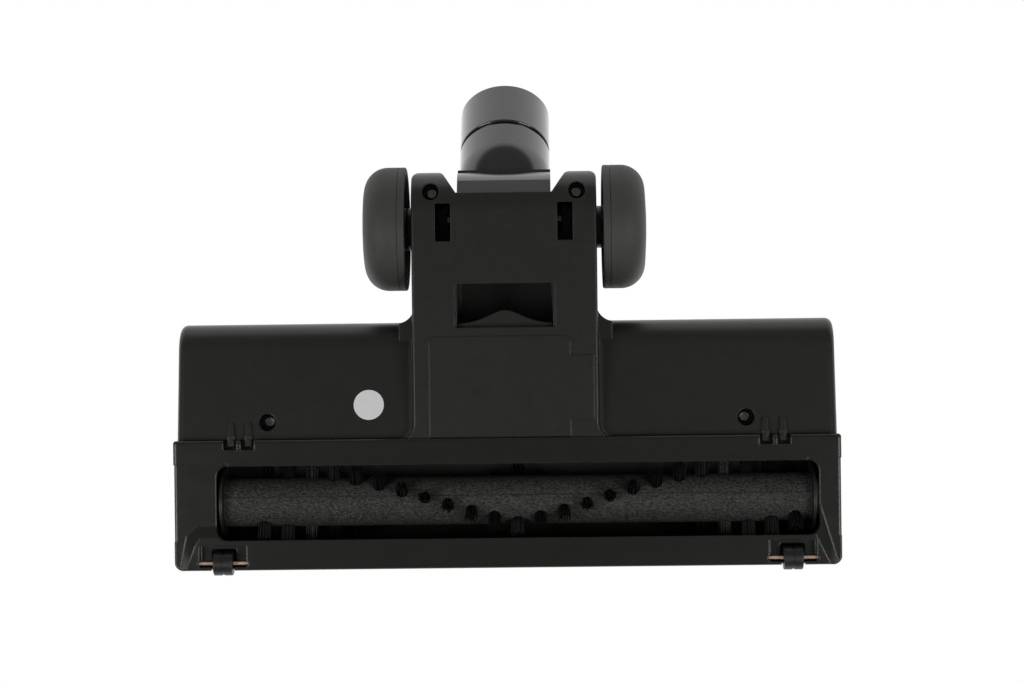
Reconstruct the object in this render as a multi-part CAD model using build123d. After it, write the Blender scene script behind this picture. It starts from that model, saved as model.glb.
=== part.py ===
from build123d import *
import os
from math import cos, radians, sin, sqrt, tan

# Air-driven floor brush head with a tilting neck for a 35 mm wand. Millimetres.
# The head stands on the floor at Z = 0 with its brush side towards -Y, and the belt runs in its +X end.
# Left is +X, as seen by a person who stands behind the head. Setbacks are measured from the front edge.
# The origin lies on the floor, in the middle of the head's box.

# Sole frame round the brush mouth
HEAD_WIDTH = 286.0
SOLE_DEPTH = 55.8
SOLE_HEIGHT = 2.0
SOLE_THICK = 6.0
SOLE_CORNER = 3.5
SOLE_EDGE = 1.3
FRONT_STRIP = 12.8
MOUTH_DEPTH = 31.9
MOUTH_CORNER = 5.0
BELT_BAR = 18.2
FREE_BAR = 9.4
BAR_RECESS = 2.7
BAR_EDGE = 1.0
BAR_EDGE_SETBACK = 12.5
BAR_STEP_SETBACK = 45.5
BELT_RAMP_TOP = ((3.2, -4.0), (9.1, 10.8), (11.3, 14.3))
BELT_RAMP_FOOT = ((1.4, -4.0), (5.2, 14.6), (9.6, 18.6))
FREE_RAMP_TOP = ((2.8, -4.0), (11.4, 12.9))
FREE_RAMP_FOOT = ((0.3, -4.0), (9.2, 25.5))

# Housing shells
WALL = 2.2
SEAM = 0.3
WING_INSET = 1.0
WING_DEPTH = 105.5
WING_HEIGHT = 42.0
WING_REAR_HEIGHT = 41.0
WING_STEP = 5.0
WING_FLOOR_SLOPE = 9.5
NOSE_RADIUS = 26.0
WING_REAR_RADIUS = 13.0
WING_REAR_ROUNDING = 0.51
WING_END_RADIUS = 3.0
THROAT_WIDTH = 79.6
THROAT_HEIGHT = 3.0
THROAT_FLARE = 9.0
THROAT_EDGE = 0.9
WING_ROOT_RADIUS = 2.4
WING_WEB = 6.4
WEB_OVERLAP = 0.3
EAR_SETBACK = 170.6
EAR_CORNER = 3.6
EAR_RADIUS = 18.0
EAR_TOP_RADIUS = 17.0
NOTCH_SETBACK = 160.9
NOTCH_SPREAD = 6.4
DECK_HEIGHT = 48.0
HUMP_HEIGHT = 54.0
HUMP_REAR_SETBACK = 116.5
HUMP_FRONT_SETBACK = 30.5
HUMP_RADIUS = 60.0
HUMP_EDGE = 3.0
PARTITION_GAP = 1.8

# Throat plate features
PAD_LIFT = 0.6
PAD_LEFT = 32.7
PAD_RIGHT = 27.8
PAD_REAR_SETBACK = 99.1
PAD_CORNER = 3.0
SIDE_PAD_WIDTH = 10.1
SIDE_PAD_FRONT_SETBACK = 63.1
SIDE_PAD_REAR_SETBACK = 90.7
WINDOW_WIDTH = 43.0
WINDOW_FRONT_SETBACK = 102.9
WINDOW_LENGTH = 18.8
SLOT_SPACING = 52.4
SLOT_WIDTH = 6.5
SLOT_LENGTH = 16.3
SLOT_SETBACK = 148.1

# Sole hooks and their slots
HOOK_INSETS = (32.0, 24.5)
HOOK_WIDTH = 3.2
HOOK_END = 1.5
HOOK_EDGE = 1.1
HOOK_FRONT_SETBACK = 52.9
HOOK_REAR_SETBACK = 63.2
HOOK_SLOT_WIDTH = 5.5
HOOK_SLOT_FRONT_SETBACK = 51.7
HOOK_RECESS = 3.5

# Brush roll and its drive
ROLL_SETBACK = 28.2
ROLL_RADIUS = 10.6
ROLL_GAP = 2.6
TUFT_REACH = 18.5
TIP_CLEARANCE = 0.5
TUFT_ROOT_RADIUS = 2.5
TUFT_TIP_RADIUS = 2.9
TUFT_SEAT_DEPTH = 5.0
TUFT_PITCH = 9.95
TUFT_END_LEFT = 16.0
TUFT_END_RIGHT = 6.0
TUFT_TURN = 15.7
TUFT_START = -53.0
ROLL_GROOVE_ANGLE = 15.0
ROLL_GROOVE = 0.4
DISC_RADIUS = 15.5
DISC_THICK = 1.4
BRUSH_AXLE_RADIUS = 2.5
BRUSH_SEAT_RADIUS = 8.0
PULLEY_RADIUS = 9.0
PINION_RADIUS = 4.5
BELT_WIDTH = 6.0
BELT_THICK = 1.2
BELT_GAP = 0.3
PULLEY_LIP = 0.8

# Air turbine
TURBINE_SETBACK = 78.5
TURBINE_RADIUS = 19.0
TURBINE_WIDTH = 54.0
BLADE_COUNT = 16
BLADE_THICK = 1.2
BLADE_BEND = 1.5
HUB_RADIUS = 6.0
SHAFT_RADIUS = 2.5
SHAFT_SEAT_RADIUS = 6.5
CHAMBER_GAP = 1.6
NOZZLE_THICK = 1.8
NOZZLE_LAND = 3.0
NOZZLE_LIFT = 8.0
NOZZLE_SLOT = 12.0
GUIDE_THICK = 1.6
GUIDE_SWELL = 5.5
GUIDE_REACH = 1.6
GUIDE_TAIL = 6.0

# Bushes
BUSH_FLANGE = 0.9
BUSH_LIP = 1.3

# Rear wheels
WHEEL_RADIUS = 27.0
WHEEL_SETBACK = 146.5
WHEEL_WIDTH = 18.9
WHEEL_SHOULDER = 10.5
WHEEL_CROWN = 1.2
WHEEL_SKIN = 3.0
WHEEL_GAP = 0.4
WHEEL_EDGE = 0.8
HUB_FACE_RADIUS = 9.0
AXLE_REACH = 11.0
AXLE_BOSS_RADIUS = 9.2
AXLE_BOSS_LENGTH = 2.5
AXLE_RADIUS = 3.0
AXLE_HEAD = 0.6

# Front rollers
ROLLER_RADIUS = 5.2
ROLLER_WIDTH = 8.4
ROLLER_INSET = 21.0
ROLLER_SETBACK = 3.0
ROLLER_GAP = 0.9
ROLLER_PIN_RADIUS = 0.75
ROLLER_RECESS_WIDTH = 20.0
ROLLER_RECESS_SETBACK = 10.7
PIN_SEAT = 0.7
ROLLER_FRONT_WALL = 1.5
ROLLER_EDGE = 0.6

# Neck and wand collar
HINGE_SETBACK = 150.5
NECK_ANGLE = 43.0
DRUM_RADIUS = 20.5
DRUM_WIDTH = 40.4
DRUM_GAP = 0.4
DRUM_ROOM = 0.8
DRUM_LIP = 0.8
TRUNNION_RADIUS = 6.0
TRUNNION_LENGTH = 4.6
TUBE_RADIUS = 20.0
ELBOW_LENGTH = 40.0
COLLAR_LENGTH = 26.0
SLEEVE_LENGTH = 11.0
SOCKET_RADIUS = 17.5
SLEEVE_WALL = 1.0
SOCKET_STOP = 1.6
COLLAR_SEAM = 2.2
RING_DEPTH = 0.6
RING_WIDTH = 1.8
RING_SETBACK = 7.0
COLLAR_EDGE = 0.7
DRUM_MOUTH = 8.0
DRUM_FLAT_ANGLE = 38.0
DRUM_FLAT_DEPTH = 0.6
BEND_SETBACK = 27.6
BEND_PASSAGE = 11.5
SLEEVE_ROOM = 0.4

# Screws and sticker
SCREW_HEAD_RADIUS = 2.7
SCREW_HEAD_HEIGHT = 2.2
SCREW_SHANK_RADIUS = 1.7
SCREW_LENGTH = 16.0
SCREW_HOLE_RADIUS = 3.7
SCREW_BOSS_RADIUS = 5.4
SCREW_CROSS = 1.0
SCREW_ROOM = 0.2
WING_SCREW_INSET = 40.0
WING_SCREW_SETBACK = 63.1
WING_SCREW_SINK = 12.0
EAR_SCREW_SPACING = 62.8
EAR_SCREW_SETBACK = 161.3
EAR_SCREW_SINK = 15.0
STICKER_RADIUS = 6.5
STICKER_THICK = 0.12
STICKER_X = 59.2
STICKER_SETBACK = 70.2

# Fits
RUNNING_FIT = 0.05
SEAT_FIT = 0.03

# Places worked out from the sizes
neck_direction = Vector(0, cos(radians(NECK_ANGLE)), sin(radians(NECK_ANGLE)))
neck_length = ELBOW_LENGTH + COLLAR_LENGTH
rim_along = (neck_length - COLLAR_EDGE) * neck_direction.Y
rim_across = (TUBE_RADIUS - COLLAR_EDGE) * neck_direction.Z
rear_reach = HINGE_SETBACK + rim_along + rim_across + COLLAR_EDGE
front_y = (ROLLER_RADIUS - ROLLER_SETBACK - rear_reach) / 2
sole_rear_y = front_y + SOLE_DEPTH
mouth_front_y = front_y + FRONT_STRIP
mouth_rear_y = mouth_front_y + MOUTH_DEPTH
wing_rear_y = front_y + WING_DEPTH
ear_rear_y = front_y + EAR_SETBACK
notch_y = front_y + NOTCH_SETBACK
roll_y = front_y + ROLL_SETBACK
turbine_y = front_y + TURBINE_SETBACK
wheel_y = front_y + WHEEL_SETBACK
hinge_y = front_y + HINGE_SETBACK
roller_y = front_y + ROLLER_SETBACK
roller_x = HEAD_WIDTH / 2 - ROLLER_INSET
window_front_y = front_y + WINDOW_FRONT_SETBACK
half_width = HEAD_WIDTH / 2
wing_half = half_width - WING_INSET
throat_half = THROAT_WIDTH / 2
root_half = throat_half + 2 * THROAT_FLARE
flare_front_y = sole_rear_y - WALL
mouth_left = half_width - BELT_BAR
mouth_right = FREE_BAR - half_width
sole_top = SOLE_HEIGHT + SOLE_THICK
parting_z = WHEEL_RADIUS
roll_z = TUFT_REACH + TIP_CLEARANCE
floor_slope = tan(radians(WING_FLOOR_SLOPE))
partition_front_y = roll_y + TUFT_REACH + PARTITION_GAP
partition_rear_y = partition_front_y + WALL
belt_wall = (mouth_left, mouth_left + WALL)
free_wall = (mouth_right - WALL, mouth_right)
roll_left = mouth_left - ROLL_GAP
roll_right = mouth_right + ROLL_GAP
roll_middle = (roll_left + roll_right) / 2
tufts_left = int((roll_left - roll_middle - TUFT_END_LEFT) / TUFT_PITCH)
tufts_right = int((roll_middle - roll_right - TUFT_END_RIGHT) / TUFT_PITCH)
pulley_left = belt_wall[1] + BUSH_FLANGE + DISC_THICK + BELT_WIDTH + 2 * (PULLEY_LIP + BELT_GAP)
belt_middle = belt_wall[1] + BUSH_FLANGE + DISC_THICK + BELT_WIDTH / 2 + PULLEY_LIP + BELT_GAP
chamber_half = TURBINE_WIDTH / 2 + CHAMBER_GAP
chamber_rear_y = window_front_y - WALL
ear_wall_half = DRUM_WIDTH / 2 + DRUM_GAP
rib_x = (SLOT_SPACING + SLOT_WIDTH) / 2 + SEAM
wheel_in = throat_half + AXLE_BOSS_LENGTH + WHEEL_GAP
nozzle_half = chamber_half - NOZZLE_LAND
nozzle_top = parting_z + NOZZLE_LIFT
outlet_half = ear_wall_half - WALL
guide_z = THROAT_HEIGHT + 2 * WALL
axle_snap = wheel_in + AXLE_REACH
axle_right = free_wall[0] - 2 * BUSH_FLANGE
ring_middle = ELBOW_LENGTH - RING_SETBACK
tall = 3 * HUMP_HEIGHT


def wing_floor_z(y):
    """Height of the wing's underside."""
    return SOLE_HEIGHT + WING_STEP + (y - sole_rear_y) * floor_slope


def slab(x_from, x_to, y_from, y_to, z_from, z_to):
    """Box between limits."""
    middle = Pos((x_from + x_to) / 2, (y_from + y_to) / 2, (z_from + z_to) / 2)
    return middle * Box(x_to - x_from, y_to - y_from, z_to - z_from)


def rod(radius, x_from, x_to, y, z):
    """Cylinder along X."""
    return Pos((x_from + x_to) / 2, y, z) * Rot(0, 90, 0) * Cylinder(radius, x_to - x_from)


def post(radius, z_from, z_to, x, y):
    """Upright cylinder."""
    return Pos(x, y, (z_from + z_to) / 2) * Cylinder(radius, z_to - z_from)


def plan_prism(points, radii, z_from, z_to):
    """Outline in X and Y with rounded corners, drawn out along Z."""
    face = make_face(FilletPolyline(*points, radius=radii, close=True))
    return extrude(Pos(0, 0, z_from) * face, amount=z_to - z_from)


def both_sides(shape):
    """A shape and its mirror image on the other side of the head."""
    return shape + mirror(shape, about=Plane.YZ)


def on_neck(shape):
    """Turn a shape from the Z axis at the origin onto the neck's axis at the hinge."""
    return Pos(0, hinge_y, parting_z) * Rot(NECK_ANGLE - 90, 0, 0) * shape


def wing_outline(inset):
    """Side outline of the wings, or of the hollow that lies a wall inside them."""
    rear_floor = wing_floor_z(wing_rear_y)
    points = [
        (front_y, sole_top),
        (front_y, WING_HEIGHT),
        (wing_rear_y, WING_REAR_HEIGHT),
        (wing_rear_y, rear_floor),
        (sole_rear_y, wing_floor_z(sole_rear_y)),
        (sole_rear_y, sole_top),
    ]
    rear_radius = min(WING_REAR_RADIUS, WING_REAR_ROUNDING * (WING_REAR_HEIGHT - rear_floor))
    radii = [0, NOSE_RADIUS, rear_radius, rear_radius, 0, 0]
    face = make_face(FilletPolyline(*points, radius=radii, close=True))
    return offset(face, amount=-inset, kind=Kind.INTERSECTION) if inset else face


def wing_body():
    """Outer form of the two wings, with rounded ends."""
    body = extrude(Plane.YZ.offset(-wing_half) * wing_outline(0), amount=2 * wing_half)
    ends = body.faces().filter_by(Axis.X)
    rims = [e for e in ends.edges() if e.bounding_box().max.Z > sole_top + SOLE_EDGE]
    return fillet(rims, WING_END_RADIUS)


def wing_hollow():
    """Room inside the wings, open below over the brush mouth."""
    inner_half = wing_half - WALL
    room = extrude(Plane.YZ.offset(-inner_half) * wing_outline(WALL), amount=2 * inner_half)
    well = slab(-inner_half, inner_half, front_y + WALL, partition_rear_y, SOLE_HEIGHT, roll_z)
    return room + well


def throat_outline(inset):
    """Side outline of the throat: flat plate, round ears and arched deck."""
    points = [
        (partition_rear_y, THROAT_HEIGHT),
        (ear_rear_y, THROAT_HEIGHT),
        (ear_rear_y, DECK_HEIGHT),
        (front_y + HUMP_REAR_SETBACK, (DECK_HEIGHT + HUMP_HEIGHT) / 2),
        (turbine_y, HUMP_HEIGHT),
        (front_y + HUMP_FRONT_SETBACK, WING_HEIGHT - WALL / 2),
        (partition_rear_y, WING_HEIGHT - 2 * WALL),
    ]
    radii = [0, EAR_RADIUS, EAR_TOP_RADIUS, HUMP_RADIUS, HUMP_RADIUS, 0, 0]
    face = make_face(FilletPolyline(*points, radius=radii, close=True))
    return offset(face, amount=-inset, kind=Kind.INTERSECTION) if inset else face


def throat_plan(inset, flare):
    """Plan outline of the throat: root flare and two ears with the neck's notch between them."""
    half = throat_half - inset
    rear = ear_rear_y - inset
    left_side = [
        (root_half, front_y),
        (root_half, flare_front_y),
        (half, flare_front_y),
        (half, rear),
        (ear_wall_half + inset + NOTCH_SPREAD, rear),
        (ear_wall_half + inset, notch_y - inset),
    ]
    radii = [0, 0, flare, 0, EAR_CORNER, 0]
    if not flare:
        left_side[:3] = [(half, front_y)]
        radii[:3] = [0]
    right_side = [(-x, y) for x, y in reversed(left_side)]
    return plan_prism(left_side + right_side, radii + radii[::-1], 0, tall)


def throat_body():
    """Outer form of the throat, with a flared root under the wings and straight sides over them."""
    form = extrude(Plane.YZ.offset(-root_half) * throat_outline(0), amount=2 * root_half)
    flare_rear_y = flare_front_y + THROAT_FLARE
    flare_top = wing_floor_z(flare_rear_y) + WALL
    under = slab(-root_half, root_half, front_y, flare_rear_y, 0, flare_top)
    return form & ((throat_plan(0, THROAT_FLARE) & under) + throat_plan(0, 0))


def throat_hollow():
    """Room inside the throat."""
    inner_half = throat_half - WALL
    room = extrude(Plane.YZ.offset(-inner_half) * throat_outline(WALL), amount=2 * inner_half)
    return room & throat_plan(WALL, 0)


def lower_zone():
    """Space of the lower housing: behind the brush chamber and below the parting plane."""
    below = slab(-half_width, half_width, partition_rear_y, ear_rear_y, 0, parting_z)
    return below - slab(-half_width, half_width, front_y, sole_rear_y, 0, sole_top)


def upper_zone():
    """Space of the top cover: above the parting plane, and down to the sole over the brush."""
    above = slab(-half_width, half_width, front_y, ear_rear_y, parting_z + SEAM, tall)
    return above + slab(-half_width, half_width, front_y, partition_rear_y, sole_top, tall)


def beside_throat(edge):
    """Whether an edge runs along the throat's sides or its root flares."""
    return throat_half - SEAM < abs(edge.center().X) < throat_half + THROAT_FLARE


def ear_corners():
    """What the rounding of the ears' outer corners takes away."""
    x = throat_half - EAR_CORNER
    y = ear_rear_y - EAR_CORNER
    corner = slab(x, throat_half + WALL, y, ear_rear_y + WALL, 0, tall)
    return both_sides(corner - post(EAR_CORNER, 0, tall, x, y))


def floor_lead():
    """The wing floor's slope carried forward past the sole's edge, so that the root rounding runs on."""
    rear = sole_rear_y + WALL
    points = [
        (partition_rear_y, wing_floor_z(partition_rear_y)),
        (rear, wing_floor_z(rear)),
        (rear, sole_top + WALL),
        (partition_rear_y, sole_top + WALL),
    ]
    face = make_face(Polyline(*points, close=True))
    return extrude(Plane.YZ.offset(-root_half) * face, amount=2 * root_half)


def rear_webs():
    """Webs with a hollow edge, in the corners between the wings' rear and the throat's sides."""
    inside = throat_half - WALL / 2
    side = throat_half - WEB_OVERLAP
    out = throat_half + WING_WEB
    front = wing_rear_y - WING_REAR_RADIUS
    start = wing_rear_y - WEB_OVERLAP
    rear = wing_rear_y + WING_WEB
    middle = WING_WEB * (1 - sqrt(0.5))
    hollow = ThreePointArc((out, start), (throat_half + middle, wing_rear_y + middle), (side, rear))
    back = Polyline((side, rear), (inside, rear), (inside, front), (out, front), (out, start))
    foot = wing_floor_z(front) + WALL / 2
    top = WING_REAR_HEIGHT - WALL
    return both_sides(extrude(Pos(0, 0, foot) * make_face([hollow, back]), amount=top - foot))


def lower_form():
    """Outer form of the lower housing, with its rounded wing roots and plate edges."""
    below = slab(-half_width, half_width, partition_rear_y, ear_rear_y, 0, parting_z)
    throat = throat_body() & below
    rims = []
    for edge in throat.edges().filter_by(beside_throat):
        box = edge.bounding_box()
        if box.min.Z < THROAT_HEIGHT + SEAM and box.size.Y > THROAT_EDGE:
            rims.append(edge)
    for edge in throat.edges().filter_by(Axis.X):
        if edge.center().Y > notch_y - SEAM and edge.center().Z < THROAT_HEIGHT + SEAM:
            rims.append(edge)
    form = fillet(rims, THROAT_EDGE) + ((wing_body() + floor_lead()) & below)
    roots = []
    for edge in form.edges().filter_by(beside_throat):
        box = edge.bounding_box()
        over_plate = wing_floor_z(flare_front_y) - THROAT_EDGE < box.min.Z < parting_z - SEAM
        if over_plate and box.max.Y < wing_rear_y + SEAM:
            roots.append(edge)
    return (fillet(roots, WING_ROOT_RADIUS) + rear_webs() - ear_corners()) & lower_zone()


def upper_form():
    """Outer form of the top cover, with a rounded deck."""
    above = slab(-half_width, half_width, front_y, ear_rear_y, parting_z + SEAM, tall)
    deck = throat_body() & above
    rims = []
    for edge in deck.edges().filter_by(beside_throat):
        box = edge.bounding_box()
        if box.min.Z > parting_z + 2 * SEAM and box.size.Y > HUMP_EDGE:
            rims.append(edge)
    deck = fillet(rims, HUMP_EDGE) - ear_corners()
    return (wing_body() & upper_zone()) + deck + (rear_webs() & above)


def inner_walls():
    """Walls inside the housing, before it is parted."""
    wide = wing_half - WALL / 2
    throat_wide = throat_half - WALL / 2
    opening = slab(-nozzle_half, nozzle_half, front_y, wing_rear_y, sole_top + 2 * WALL, nozzle_top)
    partition = slab(-wide, belt_wall[0], partition_front_y, partition_rear_y, sole_top, tall) - opening
    belt_side = slab(*belt_wall, front_y + WALL / 2, wing_rear_y, 0, tall)
    free_side = slab(*free_wall, front_y + WALL / 2, partition_rear_y, 0, tall)
    wing_walls = (partition + belt_side + free_side) & wing_body()
    chamber_side = slab(chamber_half, chamber_half + WALL, partition_rear_y, window_front_y, 0, tall)
    outlet = slab(-outlet_half, outlet_half, chamber_rear_y, window_front_y, guide_z, DECK_HEIGHT - WALL)
    chamber_rear = slab(-throat_wide, throat_wide, chamber_rear_y, window_front_y, 0, tall) - outlet
    ear_side = slab(ear_wall_half, ear_wall_half + WALL, chamber_rear_y, notch_y - WALL / 2, 0, tall)
    axle_rib = slab(rib_x, rib_x + WALL, wheel_y - AXLE_BOSS_RADIUS, wheel_y + 2 * AXLE_RADIUS, 0, tall)
    throat_walls = both_sides(chamber_side + ear_side + axle_rib) + chamber_rear
    return wing_walls + (throat_walls & throat_body())


def screw_places():
    """Place of each housing screw, with the height of the seat under its head."""
    wing_x = half_width - WING_SCREW_INSET
    wing_y = front_y + WING_SCREW_SETBACK
    ear_y = front_y + EAR_SCREW_SETBACK
    ear_floor = THROAT_HEIGHT + EAR_RADIUS - sqrt(EAR_RADIUS**2 - (ear_y - ear_rear_y + EAR_RADIUS) ** 2)
    places = []
    for side in (1, -1):
        places.append((side * wing_x, wing_y, wing_floor_z(wing_y) + WING_SCREW_SINK))
        places.append((side * EAR_SCREW_SPACING / 2, ear_y, ear_floor + EAR_SCREW_SINK))
    return places


def sole_hooks():
    """Ribs on the wing floors that end in the fingers which hold the sole frame."""
    half = HOOK_WIDTH / 2
    front = front_y + HOOK_FRONT_SETBACK
    root = sole_rear_y + SEAM
    length = front_y + HOOK_REAR_SETBACK - root
    corners = [(half, -half), (half, length), (-half, length), (-half, -half)]
    rib = plan_prism(corners, [0, HOOK_END, HOOK_END, 0], -half, half)
    rib = fillet(rib.faces().sort_by(Axis.Z)[0].edges(), HOOK_EDGE)
    hooks = Part()
    for inset in HOOK_INSETS:
        x = half_width - inset
        finger = slab(x - half, x + half, front, root + half, SOLE_HEIGHT + HOOK_RECESS, sole_top + WALL)
        along = Pos(x, root, wing_floor_z(root)) * Rot(WING_FLOOR_SLOPE, 0, 0)
        hooks += both_sides(finger + along * rib)
    return hooks


def pivot_holes():
    """Holes that both shells share at the parting plane, and the room for the neck's drum."""
    drum_room = rod(DRUM_RADIUS + DRUM_ROOM, -ear_wall_half, ear_wall_half, hinge_y, parting_z)
    neck_front = hinge_y - DRUM_RADIUS - DRUM_ROOM
    neck_way = slab(-ear_wall_half, ear_wall_half, neck_front, ear_rear_y, parting_z, tall)
    pin_radius = TRUNNION_RADIUS + RUNNING_FIT
    trunnion = rod(pin_radius, ear_wall_half - WALL, ear_wall_half + 2 * WALL, hinge_y, parting_z)
    axle = rod(AXLE_RADIUS + SEAT_FIT, rib_x - WALL, wheel_in + WALL, wheel_y, parting_z)
    seat_radius = SHAFT_SEAT_RADIUS + SEAT_FIT
    seat = rod(seat_radius, chamber_half - WALL, chamber_half + 2 * WALL, turbine_y, parting_z)
    belt_seat = rod(seat_radius, belt_wall[0] - WALL, belt_wall[1] + WALL, turbine_y, parting_z)
    return drum_room + neck_way + both_sides(trunnion + axle + seat) + belt_seat


def axle_bosses():
    """Round bosses on the outside of the ears, behind the wheels."""
    face = throat_half + AXLE_BOSS_LENGTH
    return both_sides(rod(AXLE_BOSS_RADIUS, throat_half - WALL, face, wheel_y, parting_z))


def throat_pads():
    """Flat raised pads on the throat plate."""
    face = THROAT_HEIGHT - PAD_LIFT
    root = THROAT_HEIGHT + WALL / 2
    front = sole_rear_y + SEAM
    rear = front_y + PAD_REAR_SETBACK
    corners = [(-PAD_RIGHT, front), (PAD_LEFT, front), (PAD_LEFT, rear), (-PAD_RIGHT, rear)]
    main = plan_prism(corners, [0, 0, PAD_CORNER, PAD_CORNER], face, root)
    side_front = front_y + SIDE_PAD_FRONT_SETBACK
    side_rear = front_y + SIDE_PAD_REAR_SETBACK
    return main + slab(-PAD_RIGHT - SIDE_PAD_WIDTH, -PAD_RIGHT, side_front, side_rear, face, root)


def lower_housing():
    """Lower shell: wing floors, throat plate with its window and slots, ears and bearing saddles."""
    form = lower_form()
    shell = form - housing_hollow
    bosses = Part()
    for x, y, seat in screw_places():
        bosses += post(SCREW_BOSS_RADIUS, 0, parting_z, x, y)
    shell += bosses & form
    shell += (walls + axle_bosses()) & lower_zone()
    shell += sole_hooks() + throat_pads()
    window_half = WINDOW_WIDTH / 2
    window_rear_y = window_front_y + WINDOW_LENGTH
    window = slab(-window_half, window_half, window_front_y, window_rear_y, 0, THROAT_HEIGHT + WALL)
    slot_x = SLOT_SPACING / 2
    slot_y = front_y + SLOT_SETBACK
    slot_top = THROAT_HEIGHT + 2 * WALL
    slot = Pos(slot_x, slot_y, slot_top / 2) * Box(SLOT_WIDTH, SLOT_LENGTH, slot_top)
    shell -= window + both_sides(slot) + holes
    for x, y, seat in screw_places():
        shell -= post(SCREW_HOLE_RADIUS, 0, seat, x, y)
        shell -= post(SCREW_SHANK_RADIUS + SCREW_ROOM, 0, tall, x, y)
    return shell


def top_cover():
    """Upper shell: wings over the brush chamber, arched deck over the turbine, ears beside the neck."""
    form = upper_form()
    shell = form - housing_hollow
    shell += (walls + axle_bosses()) & upper_zone()
    for x, y, seat in screw_places():
        foot = post(SCREW_BOSS_RADIUS, parting_z, parting_z + WALL, x, y)
        shell += (post(SCREW_BOSS_RADIUS, parting_z + SEAM, tall, x, y) & form) + foot
    shell -= holes + both_sides(roller_pocket())
    way = BRUSH_SEAT_RADIUS + SEAT_FIT
    for wall in (belt_wall, free_wall):
        shell -= rod(way, *wall, roll_y, roll_z)
        shell -= slab(*wall, roll_y - way, roll_y + way, 0, roll_z)
    for x, y, seat in screw_places():
        shell -= post(SCREW_SHANK_RADIUS + SEAT_FIT, 0, seat + SCREW_LENGTH + SCREW_ROOM, x, y)
    return shell


def roller_pocket():
    """Room round the left front roller."""
    half = ROLLER_WIDTH / 2 + ROLLER_GAP
    return rod(ROLLER_RADIUS + ROLLER_GAP, roller_x - half, roller_x + half, roller_y, ROLLER_RADIUS)


def bar_cut(side, bar, ramp_top, ramp_foot):
    """Recess of an end bar, with a ramp up to the front strip."""
    step = BAR_STEP_SETBACK
    faces = []
    for path, z in ((ramp_top, SOLE_HEIGHT), (ramp_foot, SOLE_HEIGHT + BAR_RECESS)):
        inner = bar + MOUTH_CORNER
        outside = -SOLE_CORNER
        outline = [*path, (inner, path[-1][1]), (inner, step), (outside, step), (outside, path[0][1])]
        points = [(side * (half_width - inset), front_y + setback) for inset, setback in outline]
        faces.append(Pos(0, 0, z) * make_face(Polyline(*points, close=True)))
    return loft(faces, ruled=True)


def bar_edge():
    """What the rounding of the left bar's outer edge takes away."""
    y_from = front_y + BAR_EDGE_SETBACK
    y_to = front_y + BAR_STEP_SETBACK
    x = half_width - BAR_EDGE
    z = SOLE_HEIGHT + BAR_RECESS + BAR_EDGE
    corner = slab(x, half_width + WALL, y_from, y_to, 0, z)
    return corner - Pos(x, (y_from + y_to) / 2, z) * Rot(90, 0, 0) * Cylinder(BAR_EDGE, y_to - y_from)


def sole_frame():
    """Frame round the brush mouth, with recessed end bars, roller pockets and bearing tongues."""
    left_corners = [(half_width, front_y), (half_width, sole_rear_y)]
    corners = left_corners + [(-x, y) for x, y in reversed(left_corners)]
    frame = plan_prism(corners, [SOLE_CORNER, SOLE_EDGE, SOLE_EDGE, SOLE_CORNER], SOLE_HEIGHT, sole_top)
    frame = fillet(frame.faces().sort_by(Axis.Z)[0].edges(), SOLE_EDGE)
    frame -= bar_cut(1, BELT_BAR, BELT_RAMP_TOP, BELT_RAMP_FOOT)
    frame -= bar_cut(-1, FREE_BAR, FREE_RAMP_TOP, FREE_RAMP_FOOT)
    frame -= both_sides(bar_edge())
    mouth = [
        (mouth_left, mouth_front_y),
        (mouth_left, mouth_rear_y),
        (mouth_right, mouth_rear_y),
        (mouth_right, mouth_front_y),
    ]
    frame -= plan_prism(mouth, [MOUTH_CORNER] * 4, 0, tall)
    pocket_half = roller_x - ROLLER_RECESS_WIDTH / 2 - 2 * WALL
    plate = SOLE_HEIGHT + WALL
    frame -= slab(-pocket_half, pocket_half, front_y + WALL, mouth_front_y - WALL, plate, sole_top)
    pocket_half = half_width - HOOK_INSETS[0] - HOOK_SLOT_WIDTH / 2 - WALL
    frame -= slab(-pocket_half, pocket_half, mouth_rear_y + WALL, partition_front_y, plate, sole_top)
    frame -= slab(-pocket_half, pocket_half, partition_rear_y, sole_rear_y - WALL, plate, sole_top)
    slot_front = front_y + HOOK_SLOT_FRONT_SETBACK
    for inset in HOOK_INSETS:
        x = half_width - inset
        half = HOOK_SLOT_WIDTH / 2
        frame -= both_sides(slab(x - half, x + half, slot_front, sole_rear_y + WALL, 0, tall))
    x = roller_x
    half = ROLLER_RECESS_WIDTH / 2
    pin_room = ROLLER_PIN_RADIUS + SEAT_FIT
    recess_top = ROLLER_RADIUS + 2 * ROLLER_PIN_RADIUS
    recess_rear = front_y + ROLLER_RECESS_SETBACK
    recess = slab(x - half, x + half, front_y + ROLLER_FRONT_WALL, recess_rear, 0, recess_top)
    seat_half = half + PIN_SEAT + SEAT_FIT
    seat = rod(pin_room, x - seat_half, x + seat_half, roller_y, ROLLER_RADIUS)
    seat += slab(x - seat_half, x + seat_half, roller_y - pin_room, roller_y + pin_room, 0, ROLLER_RADIUS)
    frame -= both_sides(recess + seat + roller_pocket())
    way = BRUSH_SEAT_RADIUS - SEAT_FIT
    for wall in (belt_wall, free_wall):
        foot = SOLE_HEIGHT + BAR_RECESS + WALL / 2
        tongue = slab(*wall, roll_y - way, roll_y + way, foot, roll_z - way / 2)
        frame += tongue - rod(BRUSH_SEAT_RADIUS + SEAT_FIT, *wall, roll_y, roll_z)
    return frame


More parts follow.
